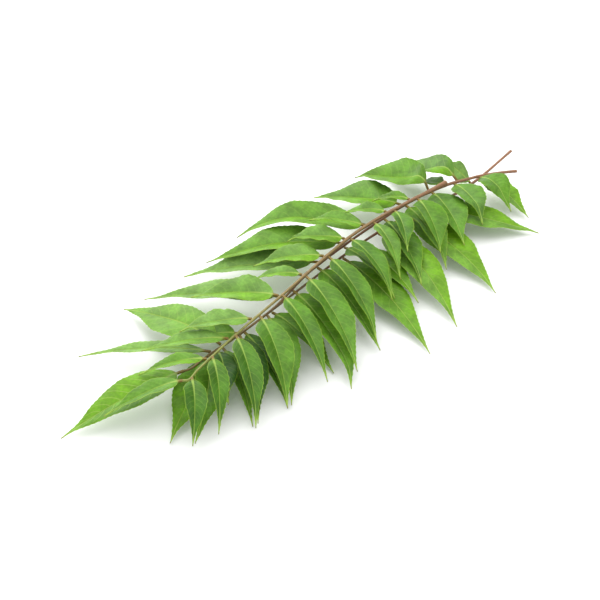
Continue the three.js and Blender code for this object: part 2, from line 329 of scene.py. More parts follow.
class NodeKit:
    """Builds one node material a node at a time."""

    def __init__(self, name: str) -> None:
        """Starts an empty material of this name."""
        self.material = bpy.data.materials.new(name)
        self.material.use_nodes = True
        self.tree = self.material.node_tree
        self.tree.nodes.clear()

    def _feed(self, socket: Socket, value: object) -> None:
        """Links a socket or sets a plain value."""
        if isinstance(value, bpy.types.NodeSocket):
            self.tree.links.new(value, socket)
        else:
            socket.default_value = value

    def uv(self) -> Tuple[Socket, Socket]:
        """The leaflet's own coordinates: along it and across it."""
        node = self.tree.nodes.new("ShaderNodeUVMap")
        node.uv_map = "UVMap"
        split = self.tree.nodes.new("ShaderNodeSeparateXYZ")
        self.tree.links.new(node.outputs[0], split.inputs[0])
        return split.outputs[0], split.outputs[1]

    def attribute(self, name: str) -> Socket:
        """A number kept on the mesh."""
        node = self.tree.nodes.new("ShaderNodeAttribute")
        node.attribute_name = name
        return node.outputs["Fac"]

    def math(self, operation: str, a: object, b: object = 0.0) -> Socket:
        """One sum on one or two numbers."""
        node = self.tree.nodes.new("ShaderNodeMath")
        node.operation = operation
        self._feed(node.inputs[0], a)
        self._feed(node.inputs[1], b)
        return node.outputs[0]

    def colour(self, rgb: Colour) -> Socket:
        """A plain colour."""
        node = self.tree.nodes.new("ShaderNodeRGB")
        node.outputs[0].default_value = (*rgb, 1.0)
        return node.outputs[0]

    def mix(self, a: Socket, b: Socket, share: object) -> Socket:
        """Colour a turned into b by share."""
        node = self.tree.nodes.new("ShaderNodeMix")
        node.data_type = "RGBA"
        self._feed(node.inputs[0], share)
        # A Mix node has its sockets for colours behind those for numbers and vectors.
        self._feed(node.inputs[6], a)
        self._feed(node.inputs[7], b)
        return node.outputs[2]

    def scale(self, colour: Socket, by: Socket) -> Socket:
        """A colour made lighter or darker by a number."""
        node = self.tree.nodes.new("ShaderNodeVectorMath")
        node.operation = "SCALE"
        self._feed(node.inputs[0], colour)
        self._feed(node.inputs["Scale"], by)
        return node.outputs[0]

    def ramp(self, value: Socket, stops: Sequence[Tuple[float, float]]) -> Socket:
        """A number carried smoothly from one range to another, held at both ends.

        Args:
            value: The number.
            stops: Two pairs, each an input and the output there.

        Returns:
            The new number.
        """
        node = self.tree.nodes.new("ShaderNodeMapRange")
        node.clamp = True
        node.interpolation_type = "SMOOTHSTEP"
        (a, low), (b, high) = stops
        self._feed(node.inputs["Value"], value)
        node.inputs["From Min"].default_value = a
        node.inputs["From Max"].default_value = b
        node.inputs["To Min"].default_value = low
        node.inputs["To Max"].default_value = high
        return node.outputs[0]

    def noise(self, scale: float, detail: float) -> Socket:
        """Smooth noise in the sprig's own space."""
        place = self.tree.nodes.new("ShaderNodeTexCoord")
        node = self.tree.nodes.new("ShaderNodeTexNoise")
        node.inputs["Scale"].default_value = scale
        node.inputs["Detail"].default_value = detail
        self.tree.links.new(place.outputs["Object"], node.inputs["Vector"])
        return node.outputs[0]

    def normal_z(self) -> Socket:
        """How far a face looks up, from 0 for down to 1 for up."""
        node = self.tree.nodes.new("ShaderNodeTexCoord")
        split = self.tree.nodes.new("ShaderNodeSeparateXYZ")
        self.tree.links.new(node.outputs["Normal"], split.inputs[0])
        return self.math("ADD", self.math("MULTIPLY", split.outputs[2], 0.5), 0.5)

    def finish(
        self,
        colour: Socket | Tuple[float, float, float, float],
        roughness: float,
        specular: float = 0.5,
        bump: Socket | None = None,
        bump_strength: float = 0.12,
        translucent: float = 0.0,
    ) -> bpy.types.Material:
        """Closes the material with its shader.

        Args:
            colour: The base colour.
            roughness: How dull its gloss is.
            specular: How strong its gloss is.
            bump: Height for fine relief.
            bump_strength: How strong the relief is.
            translucent: Share of light that comes through from behind.

        Returns:
            The finished material.
        """
        shader = self.tree.nodes.new("ShaderNodeBsdfPrincipled")
        self._feed(shader.inputs["Base Color"], colour)
        shader.inputs["Roughness"].default_value = roughness
        shader.inputs["Specular IOR Level"].default_value = specular
        if bump is not None:
            node = self.tree.nodes.new("ShaderNodeBump")
            node.inputs["Strength"].default_value = bump_strength
            node.inputs["Distance"].default_value = BUMP_DEPTH
            self._feed(node.inputs["Height"], bump)
            self.tree.links.new(node.outputs[0], shader.inputs["Normal"])
        out = self.tree.nodes.new("ShaderNodeOutputMaterial")
        last = shader.outputs[0]
        if translucent > 0.0:
            through_light = self.tree.nodes.new("ShaderNodeBsdfTranslucent")
            self._feed(through_light.inputs["Color"], colour)
            both = self.tree.nodes.new("ShaderNodeMixShader")
            both.inputs[0].default_value = translucent
            self.tree.links.new(last, both.inputs[1])
            self.tree.links.new(through_light.outputs[0], both.inputs[2])
            last = both.outputs[0]
        self.tree.links.new(last, out.inputs[0])
        return self.material


@dataclass(frozen=True)
class LeafletFinish:
    """Colours and gloss of a fresh leaflet, with painted shade, painted light and sheen, and a
    painted backlit glow among the colours.
    """

    # Painted shade: the dark green that leaflet halves lying in shade are darkened towards.
    painted_shade: Colour = (0.024, 0.090, 0.008)
    green: Colour = (0.090, 0.240, 0.012)
    # Yellow-green of young leaves, which also paints the glow of light coming through lit halves
    # from behind.
    young_tint_and_glow: Colour = (0.185, 0.420, 0.006)
    # Painted light and sheen: the pale green that lifts halves dimmed by shade and stands for the
    # bluish sheen of grazing light.
    pale: Colour = (0.210, 0.400, 0.078)
    vein: Colour = (0.330, 0.490, 0.085)
    rim: Colour = (0.360, 0.560, 0.060)
    stalklet: Colour = (0.235, 0.155, 0.040)
    under: Colour = (0.230, 0.420, 0.070)
    dry_tip: Colour = (0.300, 0.270, 0.070)
    roughness: float = 0.45
    specular: float = 0.24
    translucent: float = 0.16
    mottle_scale: float = 150.0
    fleck_scale: float = 900.0

    def material(self) -> bpy.types.Material:
        """Builds the node material that every leaflet shares."""
        kit = NodeKit("leaflet")
        u, v = kit.uv()
        t = kit.math("MULTIPLY", kit.math("SUBTRACT", u, BLADE_START), 1.0 / (1 - BLADE_START))
        v_side = kit.math("SUBTRACT", kit.math("MULTIPLY", v, 2.0), 1.0)
        out = kit.math("ABSOLUTE", v_side)
        mottle = kit.noise(scale=self.mottle_scale, detail=3.0)
        fleck = kit.noise(scale=self.fleck_scale, detail=2.0)
        # The depth number paints shade: it darkens a half towards the painted shade green where
        # that half lies in shade.
        colour = kit.mix(kit.colour(self.green), kit.colour(self.painted_shade), kit.attribute("depth"))
        # Yellow-green of young leaves together with a painted glow of backlight.
        colour = kit.mix(colour, kit.colour(self.young_tint_and_glow), kit.attribute("young_tint_and_glow_share"))
        # Painted light and sheen: lifts a half towards the pale green.
        colour = kit.mix(colour, kit.colour(self.pale), kit.attribute("painted_light_and_sheen"))
        shade = kit.ramp(mottle, ((0.3, 0.76), (0.7, 1.18)))
        grain = kit.ramp(fleck, ((0.3, 0.88), (0.7, 1.10)))
        colour = kit.scale(colour, kit.math("MULTIPLY", shade, grain))
        lateral = self._lateral_veins(kit, t, v_side, out)
        colour = kit.mix(colour, kit.colour(self.vein), lateral)
        thin = kit.math("ADD", 1.0, t)
        from_rib = kit.math("MULTIPLY", kit.attribute("rib_mm"), thin)
        rib = kit.ramp(from_rib, ((0.3, 0.9), (0.7, 0.0)))
        colour = kit.mix(colour, kit.colour(self.vein), rib)
        rim = kit.ramp(kit.attribute("rim_mm"), ((0.06, 0.7), (0.28, 0.0)))
        colour = kit.mix(colour, kit.colour(self.rim), rim)
        under = kit.ramp(kit.normal_z(), ((0.47, 0.7), (0.53, 0.0)))
        colour = kit.mix(colour, kit.colour(self.under), under)
        tip = kit.ramp(t, ((0.965, 0.0), (1.0, 0.75)))
        colour = kit.mix(colour, kit.colour(self.dry_tip), tip)
        foot = kit.ramp(u, ((0.03, 1.0), (0.09, 0.0)))
        colour = kit.mix(colour, kit.colour(self.stalklet), foot)
        return kit.finish(
            colour,
            self.roughness,
            specular=self.specular,
            bump=mottle,
            translucent=self.translucent,
        )

    @staticmethod
    def _lateral_veins(kit: NodeKit, t: Socket, v_side: Socket, out: Socket) -> Socket:
        """A mask of the side veins, which sweep from the midrib towards the tip.

        Args:
            kit: The material that is being built.
            t: Share along the blade.
            v_side: Share across it, below 0 on its right.
            out: Share out from the midrib.

        Returns:
            1 on a vein and 0 between veins.
        """
        sweep = kit.math("MULTIPLY", kit.math("POWER", out, VEIN_CURVE), VEIN_SWEEP)
        stagger = kit.math("MULTIPLY", kit.math("GREATER_THAN", v_side, 0.0), VEIN_STAGGER)
        wander = kit.noise(scale=VEIN_WANDER_SCALE, detail=1.0)
        wander = kit.math("MULTIPLY", wander, VEIN_WANDER)
        phase = kit.math("SUBTRACT", kit.math("MULTIPLY", t, VEINS_ALONG), sweep)
        phase = kit.math("ADD", kit.math("ADD", phase, stagger), wander)
        off = kit.math("ABSOLUTE", kit.math("SUBTRACT", kit.math("FRACT", phase), 0.5))
        line = kit.ramp(off, ((0.015, 1.0), (0.075, 0.0)))
        fade = kit.ramp(out, ((0.8, 1.0), (0.97, 0.0)))
        return kit.math("MULTIPLY", kit.math("MULTIPLY", line, fade), kit.attribute("veining"))


@dataclass(frozen=True)
class StalkFinish:
    """Colours of a leaf stalk, from its cut end to its green tip."""

    name: str
    base: Colour
    middle: Colour
    tip: Colour
    cut: Colour = (0.46, 0.38, 0.20)
    roughness: float = 0.5

    def material(self) -> bpy.types.Material:
        """Builds the stalk's node material."""
        kit = NodeKit(self.name)
        along = kit.attribute("along")
        cut = kit.attribute("cut")
        to_middle = kit.ramp(along, ((0.05, 0.0), (0.5, 1.0)))
        to_tip = kit.ramp(along, ((0.5, 0.0), (0.98, 1.0)))
        colour = kit.mix(kit.colour(self.base), kit.colour(self.middle), to_middle)
        colour = kit.mix(colour, kit.colour(self.tip), to_tip)
        grain = kit.noise(scale=700.0, detail=4.0)
        colour = kit.scale(colour, kit.ramp(grain, ((0.3, 0.84), (0.7, 1.14))))
        colour = kit.mix(colour, kit.colour(self.cut), kit.ramp(cut, ((0.35, 0.0), (0.8, 1.0))))
        return kit.finish(colour, self.roughness, bump=grain, bump_strength=0.25)


def add_grid(name: str, along: int, across: int) -> bpy.types.Object:
    """A flat grid of faces, alone in the selection.

    Args:
        name: The new piece's name.
        along: Number of faces along X.
        across: Number of faces along Y.

    Returns:
        The new object, at the origin.
    """
    bpy.ops.object.select_all(action="DESELECT")
    bpy.ops.mesh.primitive_grid_add(x_subdivisions=along, y_subdivisions=across, size=2.0)
    piece = bpy.context.active_object
    piece.name = name
    piece.data.name = name
    return piece


def corner_places(piece: bpy.types.Object) -> np.ndarray:
    """The places of a piece's corners, one row for each."""
    points = np.empty(len(piece.data.vertices) * 3)
    piece.data.vertices.foreach_get("co", points)
    return points.reshape(-1, 3)


def apply_modifiers(piece: bpy.types.Object) -> None:
    """Applies every modifier of a piece, in order."""
    bpy.context.view_layer.objects.active = piece
    for modifier in list(piece.modifiers):
        bpy.ops.object.modifier_apply(modifier=modifier.name)


def write_number(piece: bpy.types.Object, name: str, values: np.ndarray) -> None:
    """Keeps one number for each corner of a piece's mesh.

    Args:
        piece: The piece.
        name: The attribute that the material reads.
        values: The numbers, in the order of the corners.
    """
    layer = piece.data.attributes.new(name, "FLOAT", "POINT")
    layer.data.foreach_set("value", values.astype(np.float32))


@dataclass(frozen=True)
class Tone:
    """How half a blade's colour leans: towards the yellow-green of young leaves with a painted
    backlit glow, towards pale green for painted light and sheen, and towards dark green for
    painted shade.
    """

    # How far the half leans to young yellow-green and painted backlit glow.
    young_tint_and_glow: float = 0.12
    # How far the half is lifted with painted light and sheen.
    pale: float = 0.05
    # How far the half is darkened with painted shade.
    painted_shade: float = 0.25


@dataclass(frozen=True)
class Dress:
    """The tones of a leaflet's halves, which hold painted light, sheen and shade, how clear its
    side veins are and its tip's hook.
    """

    left: Tone = Tone()
    right: Tone = Tone()
    veining: float = 0.22
    hook_mm: float = 0.0


@dataclass
class Leaflet:
    """One leaflet: a stalklet and a pointed blade with midrib, side veins and toothed margin."""

    name: str
    shape: LeafletFrame
    dress: Dress
    along: int = 120
    across: int = 40
    crowding: float = 1.3
    blade_mm: float = 0.26
    stalklet_mm: float = 0.76
    foot_mm: float = 0.42
    least_half_mm: float = 0.06
    least_height_mm: float = 0.14
    tooth_mm: float = 0.24
    tooth_pitch_mm: float = 2.5
    wave_mm: float = 0.35
    quilt_mm: float = 0.07
    rib_mm: float = 0.16
    hook_spread_mm: float = 0.9

    def __post_init__(self) -> None:
        """Measures the CAD leaflet."""
        grid = self.shape.grid
        spans = np.linalg.norm(np.diff(grid, axis=1), axis=2)
        self.row_halves = spans.sum(axis=1) / 2
        inner = slice(2, -1)
        self.half = float((self.row_halves[inner] / outline(blade_share(ROWS)[inner])).mean())
        self.length = float(np.linalg.norm(np.diff(grid[:, MIDRIB], axis=0), axis=1).sum())

    def build(self, material: bpy.types.Material) -> bpy.types.Object:
        """Makes the leaflet's mesh and dresses it.

        Args:
            material: The finish that all leaflets share.

        Returns:
            The finished piece.
        """
        piece = add_grid(f"{self.name}_look", self.along, self.across)
        flat = corner_places(piece)
        s = (flat[:, 0] + 1) / 2
        q = flat[:, 1]
        v = np.sign(q) * np.abs(q) ** self.crowding
        places, width = self._surface(s, v)
        piece.data.vertices.foreach_set("co", places.reshape(-1))
        self._write_uv(piece, s, v)
        self._write_tone(piece, s, v)
        write_number(piece, "rib_mm", np.abs(v) * width / MM)
        write_number(piece, "rim_mm", (1 - np.abs(v)) * width / MM)
        self._thicken(piece, s, v)
        piece.data.materials.append(material)
        bpy.ops.object.shade_smooth_by_angle(angle=math.radians(50))
        return piece

    def _surface(self, s: np.ndarray, v: np.ndarray) -> Tuple[np.ndarray, np.ndarray]:
        """The blade's middle surface.

        Args:
            s: Each corner's share along the leaflet, from the stalk.
            v: Its share across, -1 on the right margin and 1 on the left.

        Returns:
            The corners' places, and the half width of the blade at each.
        """
        rng = seed_of(self.name)
        levels, index = np.unique(np.round(s, 6), return_inverse=True)
        index = index.reshape(-1)
        t = blade_share(levels)
        rib = through(ROWS, self.shape.grid[:, MIDRIB], levels)
        foot = self.foot_mm * MM * (1 - smoothstep(0.0, 0.10, t)) + self.least_half_mm * MM
        width = np.maximum(self.half * drawn_out(t), foot)[index]
        out = np.zeros((len(s), 3))
        for side, inner, outer in ((Side.RIGHT, 1, 0), (Side.LEFT, 3, 4)):
            near = self._lean(inner, levels)[index]
            far = self._lean(outer, levels)[index]
            lean = near + (far - near) * ((np.abs(v) - 0.5) * 2)[:, None]
            reach = self._margin(t[index], v, np.abs(v) * width, side, rng)
            out = np.where((v * side.value > 0)[:, None], lean * reach[:, None], out)
        places = rib[index] + out
        places[:, 2] += self._relief(t[index], v, rng)
        places[:, :2] += self._hook(rib, t)[index]
        places[:, 2] = np.maximum(places[:, 2], self.least_height_mm * MM)
        return places, width

    def _lean(self, column: int, levels: np.ndarray) -> np.ndarray:
        """Which way the blade goes out from the midrib to a column of the CAD grid.

        Args:
            column: The column, counted from the right.
            levels: Shares along the leaflet.

        Returns:
            One direction for each level.
        """
        grid = self.shape.grid
        share = abs(column - MIDRIB) / MIDRIB
        lean = (grid[:, column] - grid[:, MIDRIB]) / self.row_halves[:, None] / share
        # The last row is almost a point, so its direction is taken mostly from the row before.
        lean[-1] = 0.3 * lean[-1] + 0.7 * lean[-2]
        return through(ROWS, lean, levels)

    def _hook(self, rib: np.ndarray, t: np.ndarray) -> np.ndarray:
        """Sideways curl of the drawn-out tip, as a shift in the plane for each level."""
        ahead = np.gradient(rib, axis=0)[:, :2]
        ahead /= np.linalg.norm(ahead, axis=1)[:, None]
        drawn = smoothstep(0.72, 1.05, t) ** 1.5
        own = seed_of(self.name + "_hook").uniform(-self.hook_spread_mm, self.hook_spread_mm)
        by = (self.dress.hook_mm + own) * MM * drawn
        return np.stack([-ahead[:, 1] * by, ahead[:, 0] * by], axis=1)

    def _margin(
        self,
        t: np.ndarray,
        v: np.ndarray,
        plain: np.ndarray,
        side: Side,
        rng: np.random.Generator,
    ) -> np.ndarray:
        """Distance out from the midrib, with the margin's teeth and unevenness.

        Args:
            t: Shares along the blade.
            v: Shares across it.
            plain: The distance with an even margin.
            side: Which half this is for.
            rng: The leaflet's random numbers.

        Returns:
            The distance for each corner.
        """
        pitch = self.tooth_pitch_mm
        phase = t * (self.length / MM) / pitch + 0.5 * math.sin(7 * side.value)
        phase = phase + 0.3 * np.sin(9 * t)
        tooth = (np.abs((phase % 1.0) - 0.35) * 2 - 0.6) * self.tooth_mm * MM
        starts = rng.uniform(0, 2 * math.pi, len(MARGIN_WAVES))
        uneven = np.zeros_like(t)
        for (size, rate), start in zip(MARGIN_WAVES, starts):
            uneven += size * np.sin(rate * t + start)
        ends = smoothstep(0.03, 0.18, t) * (1 - smoothstep(0.88, 1.0, t))
        return plain * (1 + uneven * ends) + tooth * ends * np.abs(v) ** 6

    def _relief(self, t: np.ndarray, v: np.ndarray, rng: np.random.Generator) -> np.ndarray:
        """Height of the waves, of the pillows between side veins and of the sunk midrib.

        Args:
            t: Shares along the blade.
            v: Shares across it.
            rng: The leaflet's random numbers.

        Returns:
            A rise for each corner.
        """
        out = np.abs(v)
        left = v > 0
        # Four starts are drawn and two are used, one for each half.
        starts = rng.uniform(0, 2 * math.pi, 4)
        turns = rng.uniform(2.2, 3.6, 2)
        waves = [np.sin(2 * math.pi * n * t + start) for n, start in zip(turns, starts)]
        reach = smoothstep(0.1, 0.35, t) * (1 - 0.6 * smoothstep(0.85, 1.0, t))
        broad = min(1.0, self.half / (6 * MM))
        rise = self.wave_mm * MM * np.where(left, *waves) * out**2.2 * reach * broad
        phase = t * VEINS_ALONG - VEIN_SWEEP * out**VEIN_CURVE
        phase = phase + np.where(left, VEIN_STAGGER, 0.0) + 0.25
        fade = smoothstep(0.0, 0.12, out) * (1 - smoothstep(0.8, 1.0, out))
        fade = fade * smoothstep(0.02, 0.15, t)
        rise += self.quilt_mm * MM * np.abs(np.sin(math.pi * phase)) ** 0.6 * fade
        sunk = np.exp(-((out * self.half / (0.35 * MM)) ** 2)) * smoothstep(0.0, 0.1, t)
        return rise - self.rib_mm * MM * sunk

    @staticmethod
    def _write_uv(piece: bpy.types.Object, s: np.ndarray, v: np.ndarray) -> None:
        """Lays the leaflet's own map: along it, and across it with the midrib at a half."""
        layer = piece.data.uv_layers.get("UVMap") or piece.data.uv_layers.new(name="UVMap")
        layer.name = "UVMap"
        corner = np.empty(len(piece.data.loops), dtype=np.int64)
        piece.data.loops.foreach_get("vertex_index", corner)
        both = np.stack([s[corner], (v[corner] + 1) / 2], axis=1)
        layer.data.foreach_set("uv", both.reshape(-1).astype(np.float32))

    def _write_tone(self, piece: bpy.types.Object, s: np.ndarray, v: np.ndarray) -> None:
        """Keeps the leaflet's own lean of colour on its mesh, its painted light, sheen and shade
        included.
        """
        rng = seed_of(self.name + "_tone")
        blend = smoothstep(-0.03, 0.03, v)
        left, right = self.dress.left, self.dress.right
        for name, one, other in (
            # Young leaves' yellow-green with a painted glow of backlight.
            ("young_tint_and_glow_share", left.young_tint_and_glow, right.young_tint_and_glow),
            # Painted light and sheen.
            ("painted_light_and_sheen", left.pale, right.pale),
            # Painted shade.
            ("depth", left.painted_shade, right.painted_shade),
        ):
            a, b, c = rng.uniform(-1, 1, 3)
            drift = 0.06 * a + 0.05 * np.sin(4 * s + 3 * b)
            drift = drift + 0.03 * np.sin(9 * s + 4 * v + 3 * c)
            value = other * (1 - blend) + one * blend + drift
            write_number(piece, name, np.clip(value, 0, 1))
        write_number(piece, "veining", np.full(len(s), self.dress.veining))

    def _thicken(self, piece: bpy.types.Object, s: np.ndarray, v: np.ndarray) -> None:
        """Gives the sheet its two faces: a stout stalklet and midrib, a thin blade."""
        t = blade_share(s)
        blade = self.blade_mm / self.stalklet_mm
        across = np.abs(v) * self.half * drawn_out(t)
        rib = 0.5 * np.exp(-((across / (0.45 * MM)) ** 2)) * (1 - 0.8 * t)
        weight = blade * (1 - 0.45 * np.abs(v) ** 4) + rib
        weight = np.maximum(weight, 1 - smoothstep(0.0, 0.05, t))
        group = piece.vertex_groups.new(name="body")
        for k, w in enumerate(np.clip(weight, 0.02, 1.0)):
            group.add([k], float(w), "REPLACE")
        solid = piece.modifiers.new("body", "SOLIDIFY")
        solid.thickness = self.stalklet_mm * MM
        solid.offset = 0.0
        solid.vertex_group = "body"
        solid.thickness_vertex_group = 0.0
        apply_modifiers(piece)


@dataclass
class Stalk:
    """A leaf stalk: a tapering stem, a little swollen at each leaflet, with a pale cut end."""

    name: str
    finish: StalkFinish
    end: np.ndarray
    knots: List[np.ndarray] = field(default_factory=list)
    ring_points: int = 14
    step_mm: float = 1.0
    thinning: float = 0.0
    thinned_share: float = 0.16
    swelling: float = 0.16
    swelling_mm: float = 1.6
    bark_mm: float = 0.12
    joined_mm: float = 0.3

    def build(self) -> bpy.types.Object:
        """Makes the stalk's mesh and dresses it.

        Returns:
            The finished piece.
        """
        spine, radius = self._line()
        count = len(spine) - 1
        piece = add_grid(f"{self.name}_look", count, self.ring_points)
        flat = corner_places(piece)
        row = np.round((flat[:, 0] + 1) / 2 * count).astype(int)
        turn = (flat[:, 1] + 1) * math.pi
        ahead = np.gradient(spine, axis=0)
        ahead /= np.linalg.norm(ahead, axis=1)[:, None]
        side = np.cross(ahead, np.array([0, 0, 1.0]))
        side /= np.linalg.norm(side, axis=1)[:, None]
        up = np.cross(side, ahead)
        fine = 1 + 0.03 * np.sin(3 * turn + 0.02 * row) + 0.02 * np.sin(7 * turn)
        reach = radius[row] * fine
        places = (
            spine[row]
            + side[row] * (np.cos(turn) * reach)[:, None]
            + up[row] * (np.sin(turn) * reach)[:, None]
        )
        piece.data.vertices.foreach_set("co", places.reshape(-1))
        self._close(piece)
        self._write_numbers(piece, spine)
        piece.data.materials.append(self.finish.material())
        bpy.ops.object.shade_smooth_by_angle(angle=math.radians(40))
        return piece

    def _line(self) -> Tuple[np.ndarray, np.ndarray]:
        """The stalk's middle line up to its end leaflet.

        Returns:
            The line's points, and the stalk's radius at each.
        """
        centres = stalk_centres(self.name)
        if np.linalg.norm(self.end - centres[-1, :3]) > self.joined_mm * MM:
            centres = np.vstack([centres, [*self.end, centres[-1, 3]]])
        steps = np.linalg.norm(np.diff(centres[:, :3], axis=0), axis=1)
        run = np.concatenate([[0], np.cumsum(steps)])
        at = np.linspace(0, run[-1], int(run[-1] / (self.step_mm * MM)) + 1)
        spine = through(run, centres[:, :3], at)
        swell = np.zeros(len(at))
        for knot in self.knots:
            gap = np.linalg.norm(spine - knot, axis=1)
            swell += self.swelling * np.exp(-((gap / (self.swelling_mm * MM)) ** 2))
        thin = 1 - self.thinning * (1 - smoothstep(0.0, self.thinned_share, at / run[-1]))
        radius = np.interp(at, run, centres[:, 3]) * thin * (1 + np.clip(swell, 0, 0.3))
        return spine, radius

    def _close(self, piece: bpy.types.Object) -> None:
        """Joins the sheet's long edges into a tube and closes both ends with a face."""
        bpy.ops.object.mode_set(mode="EDIT")
        bpy.ops.mesh.select_all(action="SELECT")
        bpy.ops.mesh.remove_doubles(threshold=0.01 * MM)
        bpy.ops.mesh.select_all(action="DESELECT")
        bpy.ops.mesh.select_mode(type="EDGE")
        bpy.ops.mesh.select_non_manifold()
        bpy.ops.mesh.edge_face_add()
        bpy.ops.mesh.select_mode(type="FACE")
        bpy.ops.mesh.inset(thickness=self.bark_mm * MM, depth=0.0)
        bpy.ops.mesh.select_all(action="SELECT")
        bpy.ops.mesh.normals_make_consistent(inside=False)
        bpy.ops.object.mode_set(mode="OBJECT")

    @staticmethod
    def _write_numbers(piece: bpy.types.Object, spine: np.ndarray) -> None:
        """Keeps how far along each corner is, and which lie on the cut face."""
        points = corner_places(piece)
        order = np.argsort(spine[:, 0])
        along = np.interp(points[:, 0], spine[order, 0], np.linspace(0, 1, len(spine))[order])
        write_number(piece, "along", along)
        caps = [list(f.vertices) for f in piece.data.polygons if len(f.vertices) > 4]
        face = max(caps, key=lambda corners: points[corners, 0].mean())
        cut = np.zeros(len(points))
        cut[face] = 1.0
        write_number(piece, "cut", cut)


class Leaf(Enum):
    """The three pinnate leaves of the sprig, named as in the CAD part."""

    LOWER = "lower"
    MIDDLE = "middle"
    UPPER = "upper"


PINK_BROWN = StalkFinish(
    "stalk_pink_brown",
    base=(0.215, 0.104, 0.042),
    middle=(0.25, 0.165, 0.062),
    tip=(0.24, 0.27, 0.05),
)
BROWN = StalkFinish(
    "stalk_brown",
    base=(0.25, 0.115, 0.052),
    middle=(0.17, 0.075, 0.036),
    tip=(0.22, 0.15, 0.05),
)
STALK_FINISHES = {Leaf.LOWER: BROWN, Leaf.MIDDLE: BROWN, Leaf.UPPER: PINK_BROWN}
# How much of its thickness each stalk loses towards its cut end.
STALK_THINNING = {Leaf.LOWER: 0.2, Leaf.MIDDLE: 0.2, Leaf.UPPER: 0.0}
LEAFLET_SLOT = "leaflet_green"
# How the leaflets on each side of each leaf are dressed, and those that have their own dress;
# their tones paint light, sheen and shade on each half.
SIDE_DRESS: Dict[Tuple[Leaf, Side], Dress] = {
    (Leaf.LOWER, Side.LEFT): Dress(Tone(0.3, 0.3, 0.0), Tone(0.2, 0.3, 0.0)),
    (Leaf.LOWER, Side.RIGHT): Dress(Tone(0.75, 0.0, 0.0), Tone(0.45, 0.4, 0.0), 0.3),
    (Leaf.MIDDLE, Side.LEFT): Dress(Tone(0.6, 0.1, 0.0), Tone(0.2, 0.3, 0.05)),
    (Leaf.MIDDLE, Side.RIGHT): Dress(Tone(0.12, 0.0, 0.4), Tone(0.1, 0.0, 0.6)),
    (Leaf.UPPER, Side.LEFT): Dress(Tone(0.7, 0.1, 0.0), Tone(0.1, 0.5, 0.0)),
    (Leaf.UPPER, Side.RIGHT): Dress(Tone(0.15, 0.08, 0.15), Tone(0.12, 0.0, 0.45)),
}
